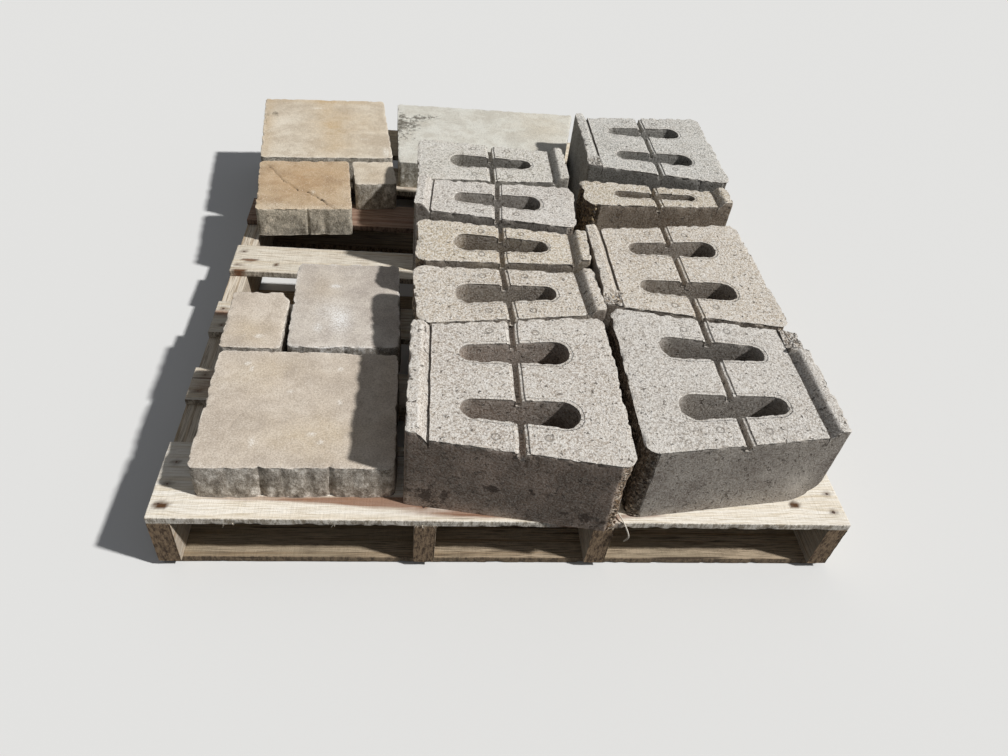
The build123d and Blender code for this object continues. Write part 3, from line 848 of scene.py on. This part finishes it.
def sawn_timber(name, node, length, width, thickness, x, y, z, turn, seed, material, slot_name,
                knots=(), stains=(), nails=(), fray=1.2, ends_pale=0.9, arris=0.8, spacing=8.0):
    """A sawn board. Its grid is even along its length. Its long arrises are worn and
    frayed by random radii, its faces rise and fall in long low ridges along the grain, and
    its ends are broken back a little. The grain coordinate bends round each knot by
    (y - y0) * b * e^(-distance^2)."""
    near_end = np.array((0.0, 1.0, 3.0))
    near_face = FINE[:4] if thickness == BOARD else FINE
    points, faces, _ = skin(np.stack(np.meshgrid(
        stations(-length / 2, length / 2, spacing, near_end, near_end),
        stations(-width / 2, width / 2, 5.0, FINE, FINE),
        stations(0, thickness, 4.0, near_face, near_face),
        indexing="ij",
    ), -1))
    stretched = points * (0.09, 1.0, 1.0)
    for sign in (-1, 1):
        distance = width / 2 - sign * points[:, 1]
        for low in (False, True):
            height = points[:, 2] if low else thickness - points[:, 2]
            radius = 1.0 + 0.8 * rough(stretched, 5.0, seed + 2 * low + sign)
            ragged = rough(points * (0.6, 1.0, 1.0), 7.0, seed + 7 + low, 2)
            radius += fray * (2.8 if low else 1.0) * ease(ragged, 0.0, 0.5)
            radius = np.clip(radius, 0.4, thickness * 0.45)
            new_distance, new_height = worn_edge(distance, height, radius)
            points[:, 1] -= sign * (new_distance - distance)
            points[:, 2] += (1 if low else -1) * (new_height - height)
            distance = new_distance
    ridges = 0.28 + 0.28 * rough(stretched, 4.5, seed + 11)
    ridges += 0.25 * np.abs(rough(points, 120.0, seed + 12))
    ends = ease(np.abs(points[:, 0]), length / 2 - 1.2, length / 2 - 0.2)
    ridges += ends * (0.6 + 0.6 * rough(points, 5.0, seed + 13))
    points -= normals(points, faces) * ridges[:, None]
    grain = points.copy()
    knot = np.zeros(len(points))
    for kx, ky, size, stretch in knots:
        # a knot is oval, longer along the grain
        reach = oval(points, kx, ky, size * stretch, size)
        grain[:, 1] += (points[:, 1] - ky) * 0.8 * np.exp(-reach / 5.0)
        knot = np.maximum(knot, 1 - ease(np.sqrt(reach), 0.75, 1.25))
    # each piece has another part of the grain
    grain[:, :2] += seed * np.array((137.0, 61.0))
    for nx, ny in nails:
        # rust and crushed fibres round a nail, drawn out along the grain
        rust = 0.7 * (1 - ease(np.sqrt(oval(points, nx, ny, 9.5, 6.5)), 0.4, 1.1))
        knot = np.maximum(knot, rust * (points[:, 2] > thickness / 2))
    wear = arris * ease(width / 2 - np.abs(points[:, 1]), 2.2, 0.4) + ends_pale * ends
    piece(
        name, node, placed(points, x, y, turn, z), faces, material, slot_name,
        grain=grain * METRE, knot=knot, wear=np.clip(wear, 0, 1), stain=spots(points, stains),
    )


# ---------------------------------------------------------------- the object

# the bed's pale, body, deep and warm tones, the sides' tone and deep tone, which are partly
# painted shade, and the split face's tone and deep tone
casts = {
    name: dry_cast_concrete("dry_cast_concrete_" + name, *colours.split())
    for name, colours in (
        ("grey", "#E8E3DB #DCD6CE #C8C1B8 #CABFB1 #A8A096 #8D847B #7A6A58 #352B23"),
        ("brown_side", "#EAE3D9 #DED6CC #CABFB4 #CFC2B1 #A39183 #7D6F63 #8B7155 #4B3826"),
        ("warm", "#E8DED1 #DACFC0 #C5B9AA #D4C2A7 #9C9082 #82766A #7F6D59 #3C3027"),
        ("sandy", "#E9DDCA #DCCFBA #C8BAA3 #D8C29C #9C8F7D #82766A #7F6D59 #3C3027"),
        ("pale", "#E8E5DC #DCD9CF #CBC7BC #CFC6B5 #9D988E #837E75 #857B6D #4A443B"),
        ("cool", "#DCDCD7 #CECEC8 #BAB9B3 #C1BBAF #9C9992 #828079 #7F776B #45403A"),
        ("tan", "#DED4C0 #D1C5AF #B9AC96 #C5AE8A #968877 #796A59 #7D6B55 #3E3226"),
    )
}
wall_block("large_1", casts["brown_side"], -6.0, -466.1, -0.6, 322.0, 11, spacing=3.2,
           stains=((-120, 28, 60, 34, 0.33), (-36, 62, 26, 16, 0.31), (100, 22, 60, 30, 0.31),
                   (30, 68, 24, 16, 0.29)))
wall_block("small_1", casts["warm"], -6.0, -256.6, 184.0, 157.0, 23)
wall_block("small_2", casts["sandy"], -6.0, -112.1, 178.4, 138.0, 37)
wall_block("small_3", casts["grey"], -5.0, 39.65, -3.3, 155.5, 41)
wall_block("small_4", casts["pale"], -9.0, 191.65, 179.6, 174.5, 53)
wall_block("large_2", casts["grey"], 310.0, -443.1, 179.8, 322.0, 67, broken_lip=40,
           broken_edge=True, spacing=3.2,
           scuffs=((-112, 122, 46, 28, 1.0), (-60, 130, 70, 22, 0.5)))
wall_block("large_3", casts["warm"], 310.0, -159.6, 0.6, 322.0, 71, broken_lip=20)
wall_block("narrow", casts["tan"], 321.0, 95.4, 180.7, 100.0, 83, slot_name="tan_wall_block")
wall_block("large_4", casts["cool"], 355.0, 326.4, -0.1, 322.0, 97, broken_lip=16)

# pale, body, deep and tint on top, the sides' tone and deep tone, and the rim
pavings = {
    name: paving_concrete("wet_cast_paving_" + name, *colours.split())
    for name, colours in (
        ("beige", "#E5DACC #D8CBBC #C0B3A5 #D0B992 #A79D90 #6A6156 #F3ECE1"),
        ("grey", "#E0D8CE #D4CBC0 #B9AFA6 #CDBA9E #9F9588 #6A6257 #F6F4F0"),
        ("tan", "#DAC6AA #CBB596 #A88F72 #BF9768 #A49D8E #655E51 #E6D9C3"),
        ("sand", "#EBE2D1 #E0D5C2 #C4B6A2 #CBAF86 #9C9281 #6B6254 #EFE8DB"),
        ("pale", "#E6E5DC #DFDED4 #C9C5B9 #DBCCB2 #9E9786 #6D665A #F0EEE6"),
    )
}
middle_joint = ((0.5, 3.5, 6),)
shallow_joint = ((0.5, 3.0, 6),)
paving_slab("slab_front", pavings["beige"], (-315.1, -449.6, 1.0), rectangle(284, 246, 3.5), 5,
            lobes=(3, 2, 3, 2), top_wear=1.2, spacing=3.0,
            joints=(((0.178, 1.8, 9), (0.336, 4.2, 6), (0.445, 1.6, 8), (0.571, 2.0, 10),
                     (0.678, 4.2, 6), (0.79, 2.0, 11)), middle_joint, (), middle_joint),
            cleft=(((-98, -47), (-70, 18), 0.0, 0.5), ((112, -20), (122, 20), 0.0, 0.4)),
            hues=((20, -60, 60, 40, 0.7), (-60, 70, 50, 40, 0.5)),
            scuffs=((-61, -73, 3, 6, 2.6), (20, -57, 4, 3, 2.6), (33, -72, 3, 3, 2.2),
                    (54, 8, 3, 4, 2.0), (-91, 90, 4, 3, 2.2), (-84, 78, 2, 5, 2.0),
                    (50, 81, 3, 3, 1.8), (-20, 30, 4, 2, 1.2)))
paving_slab("slab_medium", pavings["grey"], (-271.6, -199.2, 2.5), rectangle(187, 238, 3.5), 15,
            lobes=(2, 2, 2, 2), joints=(shallow_joint, shallow_joint, (), shallow_joint),
            spacing=3.2, hues=((-50, 40, 40, 60, 0.5),),
            scuffs=((-9, -48, 17, 30, 0.95), (-44, -66, 7, 10, 0.8), (-28, -20, 26, 30, 0.35),
                    (-21, 48, 7, 4, 1.8)))
paving_slab("slab_small", pavings["beige"], (-414.0, -251.0, 1.0), rectangle(96, 147), 25,
            cuts=(9, 9, (22.0, 14.0), 9), spacing=3.2, hues=((0, -30, 40, 30, 0.5),),
            scuffs=((11, -45, 5, 4, 2.0),))
paving_slab("paver_small", pavings["sand"], (-253.0, 266.0, 8.5), rectangle(90, 100), 35,
            hues=((0, 0, 50, 50, 0.3),))
paving_slab("paver_tan", pavings["tan"], (-392.7, 199.0, 6.6), rectangle(189, 201), 45,
            slot_name="tan_paver", joints=(((0.53, 3.4, 4), (0.70, 2.2, 9)), (), (), ()),
            cleft=(((-74, 78), (-42, 16), 1.2, 1.4), ((-42, 16), (-13, -20), 1.2, 1.5),
                   ((-13, -20), (6, -30), 1.2, 1.6), ((6, -30), (33, -62), 1.4, 1.6),
                   ((33, -62), (60, -100), 1.2, 1.4), ((-92, -60), (-60, -98), 0.8, 0.5)),
            spacing=2.2, hues=((0, 20, 90, 90, 0.8),),
            scuffs=((-60, -88, 30, 12, 0.8), (30, -92, 50, 8, 0.6), (84, -40, 10, 40, 0.5),
                    (18, -33, 3, 6, 2.0)))
paving_slab("paver_rear", pavings["sand"], (-375.7, 469.8, 6.8), rectangle(287, 301), 55,
            hues=((12, 0, 44, 210, 0.9), (80, 20, 60, 100, 0.4), (-136, 0, 16, 170, 0.8),
                  (0, 146, 150, 16, 0.8)),
            stains=((-138, 40, 10, 60, 0.18), (-118, 66, 10, 12, 0.3)),
            scuffs=((84, -60, 9, 3, 1.4), (-21, 101, 12, 3, 1.2), (130, -123, 5, 16, 2.4)))
paving_slab("slab_rear", pavings["pale"], (0.0, 0.0, 0.0),
            [(-204, 320.9), (170.3, 330.9), (235.3, 638.2), (-216.9, 628.2)], 65,
            hues=((150, 560, 80, 90, 0.6),),
            stains=((-180, 516, 40, 36, 0.22), (-150, 560, 50, 22, 0.22),
                    (-190, 440, 34, 60, 0.17), (-206, 560, 10, 90, 0.16)))

# early wood, late wood, weathered grey, dirt, edge and its deep tone, and how grey it is
pines = {
    name: sawn_softwood("rough_sawn_pine_" + name, *colours.split(), coverage)
    for name, colours, coverage in (
        ("bleached", "#FCF5E8 #F4E8D4 #F0E9DC #CBBB9F #F6EEE0 #85765F", 0.4),
        ("deck", "#EDE4D3 #DFCFB4 #D6CEBE #A08A6E #CFC4B2 #5E4E3C", 0.5),
        # brown: reddish-brown wood, darker partly as painted shade for the board that lies in
        # shadow
        ("brown", "#AB8F7C #8B6A58 #93806F #5C4639 #8A7361 #3A2A21", 0.4),
        # bottom: tones darkened as painted shade under the deck
        ("bottom", "#BBA88E #907555 #978972 #4B3B2A #907C64 #3A2C21", 0.6),
        ("stringer", "#E4D8C5 #CDB99D #C6BBAC #8C7963 #A38B70 #453628", 0.5),
    )
}
# boards from front to back: middle line and width
deck_rows = ((-539.75, 139.7), (-345.0, 76.0), (-173.6, 88.9), (9.1, 88.9), (191.4, 88.9),
             (345.4, 88.9), (539.75, 139.7))
base_rows = ((-531.75, 139.7), (-265.9, 88.9), (0.0, 88.9), (265.9, 88.9), (531.75, 139.7))
stringer_places = (-492.0, -130.0, 130.0, 492.0)
# places of the nails on a board, from its middle line
nail_rows = {139.7: (-45.0, -10.0, 30.0), 88.9: (-24.0, 22.0), 76.0: (-18.0, 20.0)}
# wood, knots and stains of each deck board, from front to back
deck_woods = (
    ("bleached", ((431.0, -32.0, 7.0, 1.3), (-491.0, -47.0, 6.5, 1.7)),
     ((-300.0, -34.0, 190.0, 7.0, 0.5), (-190.0, -38.0, 90.0, 10.0, 0.65),
      (-40.0, -56.0, 120.0, 9.0, 0.65), (100.0, -64.0, 60.0, 9.0, 0.7),
      (200.0, -56.0, 60.0, 5.0, 0.5))),
    ("deck", (), ((-440.0, 0.0, 120.0, 60.0, 0.4),)),
    ("deck", ((-452.0, 12.0, 6.0, 2.4),), ((-490.0, 10.0, 40.0, 12.0, 0.4),)),
    ("deck", ((-425.0, -18.0, 4.0, 1.6), (-476.0, -6.0, 4.5, 3.6), (-490.0, -41.0, 4.0, 3.6)),
     ((-476.0, -6.0, 24.0, 8.0, 0.4), (-490.0, -42.0, 26.0, 7.0, 0.4),
      (-300.0, 0.0, 400.0, 60.0, -0.05))),
    # the fifth board: brown pine under a stain along its length, partly real reddish wood and
    # partly painted shade
    ("brown", (), ((0.0, 0.0, 600.0, 80.0, 0.25),)),
    ("deck", ((-250.0, 6.0, 8.0, 1.5),), ((-200.0, 0.0, 400.0, 60.0, 0.3),)),
    ("deck", (), ()),
)


def nails_on(number, width):
    """Places of the nails on a deck board, a little out of line from board to board."""
    return [
        (x + 3.0 * ((number + k) % 3 - 1), y)
        for x in stringer_places
        for k, y in enumerate(nail_rows[width])
    ]


for number, ((middle, width), (wood, knots, stains)) in enumerate(zip(deck_rows, deck_woods)):
    sawn_timber(
        f"deck_board_{number + 1}", f"top_board_{number + 1}", PALLET_WIDTH, width, BOARD,
        0.0, middle, DECK_TOP - BOARD, 0.0, 3 + 7 * number, pines[wood], "deck_boards",
        knots, stains, nails_on(number, width), fray=2.0 if number in (0, 6) else 1.2,
        spacing=8.0 if number else 5.0,
    )
for number, (middle, width) in enumerate(base_rows):
    sawn_timber(
        f"base_board_{number + 1}", f"bottom_board_{number + 1}", PALLET_WIDTH, width, BOARD,
        0.0, middle, 0.0, 0.0, 63 + 7 * number, pines["bottom"], "bottom_boards",
        fray=2.0 if number in (0, 4) else 1.2, spacing=8.0 if number else 5.0,
    )
for number, place in enumerate(stringer_places):
    sawn_timber(
        f"bearer_{number + 1}", f"stringer_{number + 1}", PALLET_DEPTH, STRINGER_WIDTH,
        STRINGER_HEIGHT, place, 0.0, BOARD, 90.0, 110 + 7 * number, pines["stringer"],
        "stringers", fray=0.6, ends_pale=1.0, arris=0.25, spacing=7.0,
    )


def nail_heads():
    """Nail heads driven just below the deck: each is a low dome whose height falls from
    the middle as 1 - r^2, closed below the wood, over its radius r and its angle."""
    radius = np.array((0.0, 0.45, 0.8, 1.0, 1.0))[:, None] * 3.6
    rise = np.array((0.5, 0.4, 0.15, -0.2, -1.6))[:, None]
    turn = np.linspace(0, 2 * pi, 13)[:-1]
    dome = np.stack([radius * np.cos(turn), radius * np.sin(turn), rise + 0 * turn], -1)
    places = np.array([
        (x, middle + y, DECK_TOP - 0.7)
        for number, (middle, width) in enumerate(deck_rows)
        for x, y in nails_on(number, width)
    ])
    return tubes(dome + places[:, None, None])


def swept(line, way, hint, size, flatness, turns):
    """A strip along a line: at each place, its corners stand round the line at these
    turns, as far as its size and flatter one way."""
    side = np.cross(way, hint)
    side /= np.linalg.norm(side, axis=-1)[..., None]
    other = np.cross(way, side)
    corners = [line + size * (cos(a) * side + flatness * sin(a) * other) for a in turns]
    return tubes(np.stack(corners, -2))


def torn_fibres():
    """Fibres torn out below the front board, over the ends of the stringers. Each is a
    flat sliver with three sides that narrows as 1 - s^2 towards its tip, s being the share
    of its length, and curls by a random bend times s^2."""
    pick = np.random.default_rng(4)
    tufts = np.repeat(
        (-500.0, -470.0, -395.0, -260.0, -130.0, 118.0, 134.0), (3, 4, 4, 3, 12, 16, 18)
    )
    count = len(tufts)
    starts = np.stack([
        tufts + pick.normal(0, 7.0, count),
        -608.4 + pick.uniform(-0.4, 0.8, count),
        103.4 + pick.uniform(-0.6, 2.4, count),
    ], 1)
    ways = np.stack([
        pick.normal(0, 0.5, count), -0.25 - 0.3 * pick.random(count), np.full(count, -1.0)
    ], 1)
    ways /= np.linalg.norm(ways, axis=1)[:, None]
    lengths, widths = pick.uniform(3.0, 8.0, count), pick.uniform(0.4, 0.9, count)
    bend = np.random.default_rng(6).normal(0, 0.28, (count, 3)) * lengths[:, None]
    s = np.linspace(0, 1, 6)[:, None]
    line = starts[:, None] + ways[:, None] * (lengths[:, None, None] * s) + bend[:, None] * s**2
    size = widths[:, None, None] * (1 - 0.93 * s**2)
    return swept(line, ways[:, None], (0.3, 0.2, 1.0), size, 0.45, (0.0, 2.1, 4.2))


def curled_strand():
    """A strand of split wood caught between the blocks: a strip, 3 mm wide and 2 mm thick,
    carried along a smooth line through its turning points. The line from a to b is a cubic
    whose slope at each is half the step between the points on both sides of it."""
    path = np.array((
        (145, -587, 116), (149, -596, 119), (154, -608, 118), (161, -614, 106),
        (165, -617, 97), (166, -617.5, 90), (165, -616, 83), (162.5, -614, 76),
    ))
    count = 49
    t = np.linspace(0, len(path) - 1, count)
    left = np.clip(t.astype(int), 0, len(path) - 2)
    f = (t - left)[:, None]
    before, a, b, after = (path[np.clip(left + n, 0, len(path) - 1)] for n in (-1, 0, 1, 2))
    line = 0.5 * (2 * a + (b - before) * f + (2 * before - 5 * a + 4 * b - after) * f**2
                  + (3 * a - before - 3 * b + after) * f**3)
    way = np.gradient(line, axis=0)
    way /= np.linalg.norm(way, axis=1)[:, None]
    size = (1.5 * (1 - 0.6 * np.abs(np.linspace(-1, 1, count)) ** 6))[:, None]
    return swept(line, way, (0.9, 0.3, 0.2), size, 0.7, np.linspace(0, 2 * pi, 9)[:-1])


def loose_piece(name, points, faces, material, slot_name, merge=True, **attributes):
    """A piece of its own beside the solids. Points that fall together become one, and its
    faces are turned outwards."""
    made = piece(name, None, points, faces, material, slot_name, **attributes)
    work = bmesh.new()
    work.from_mesh(made.data)
    if merge:
        bmesh.ops.remove_doubles(work, verts=work.verts, dist=0.00002)
    bmesh.ops.holes_fill(work, edges=work.edges, sides=16)
    bmesh.ops.recalc_face_normals(work, faces=work.faces)
    work.to_mesh(made.data)
    work.free()


rusted_steel, node, surface = new_material("rusted_nail_steel")
# rust in spots of 1 mm, drawn 2 mm wide so that they show
rust = node("TexNoise", {"Vector": node("TexCoord").outputs["Object"], "Scale": 1000 / 2.0,
                         "Detail": 3.0})
rust_tone = node("ValToRGB", [rust], [(0.35, "#2E2622"), (0.6, "#5A4234")])
surface({"Base Color": rust_tone, "Metallic": 0.4, "Roughness": 0.65})
loose_piece("nail_heads", *nail_heads(), rusted_steel, "stringers")
for name, (points, faces), wood, order in (
    ("torn_fibres", torn_fibres(), "deck", (0, 1, 2)),
    ("curled_strand", curled_strand(), "bleached", (2, 1, 0)),
):
    flat = np.zeros(len(points))
    loose_piece(name, points, faces, pines[wood], "deck_boards", merge=False,
                grain=points[:, order] * METRE, knot=flat, wear=flat, stain=flat)

# ---------------------------------------------------------------- floor, light, camera


def studio_tone(tree, light, shown):
    """One tone where the camera, a mirror or glass sees it, and another for the light
    that it sends back."""
    path = add(tree, "LightPath")
    mirrored = add(tree, "Math", [path.outputs["Is Glossy Ray"],
                                  path.outputs["Is Transmission Ray"]], operation="MAXIMUM")
    seen = add(tree, "Math", [path.outputs["Is Camera Ray"], mirrored], operation="MAXIMUM")
    return add(tree, "Mix", [seen, light, shown], data_type="RGBA")


floor_mesh = bpy.data.meshes.new("floor")
# 15 m from the pallet to each side, and half a millimetre below it
floor_mesh.from_pydata([(*corner, 0) for corner in rectangle(30, 30)], [], [(0, 1, 2, 3)])
floor = bpy.data.objects.new("floor", floor_mesh)
bpy.context.scene.collection.objects.link(floor)
floor.location.z = -0.0005
floor_paint, _, surface = new_material("matt_pale_floor")
surface({"Base Color": studio_tone(floor_paint.node_tree, "#424240", "#E6E5E2"),
         "Roughness": 1.0, "Specular IOR Level": 0.0})
floor_mesh.materials.append(floor_paint)

world = bpy.data.worlds.new("studio")
bpy.context.scene.world = world
world.use_nodes = True
tree = world.node_tree
sky = studio_tone(tree, (0.153, 0.160, 0.173, 1), (0.86, 0.86, 0.85, 1))
fill(tree.nodes["Background"], {"Color": sky})

lamp = bpy.data.lights.new("key", "SUN")
lamp.energy = 3.5
lamp.angle = radians(3)
key = bpy.data.objects.new("key", lamp)
bpy.context.scene.collection.objects.link(key)
# from the right and a little in front, 47 degrees up
key.rotation_euler = (0, radians(90 - 47), radians(-18))

# the place and lens that show the pallet as the photo does
lens = bpy.data.cameras.new("view")
lens.sensor_width = 36.0
lens.lens = 26.917
view = bpy.data.objects.new("view", lens)
bpy.context.scene.collection.objects.link(view)
view.matrix_world = Matrix((
    (0.9923786, -0.0328333, -0.1187716, -0.153006),
    (-0.06435104, 0.68389905, -0.72673313, -1.247836),
    (0.10508884, 0.72883748, 0.67657392, 0.988),
    (0, 0, 0, 1),
))
bpy.context.scene.camera = view
bpy.context.scene.view_settings.view_transform = "Standard"
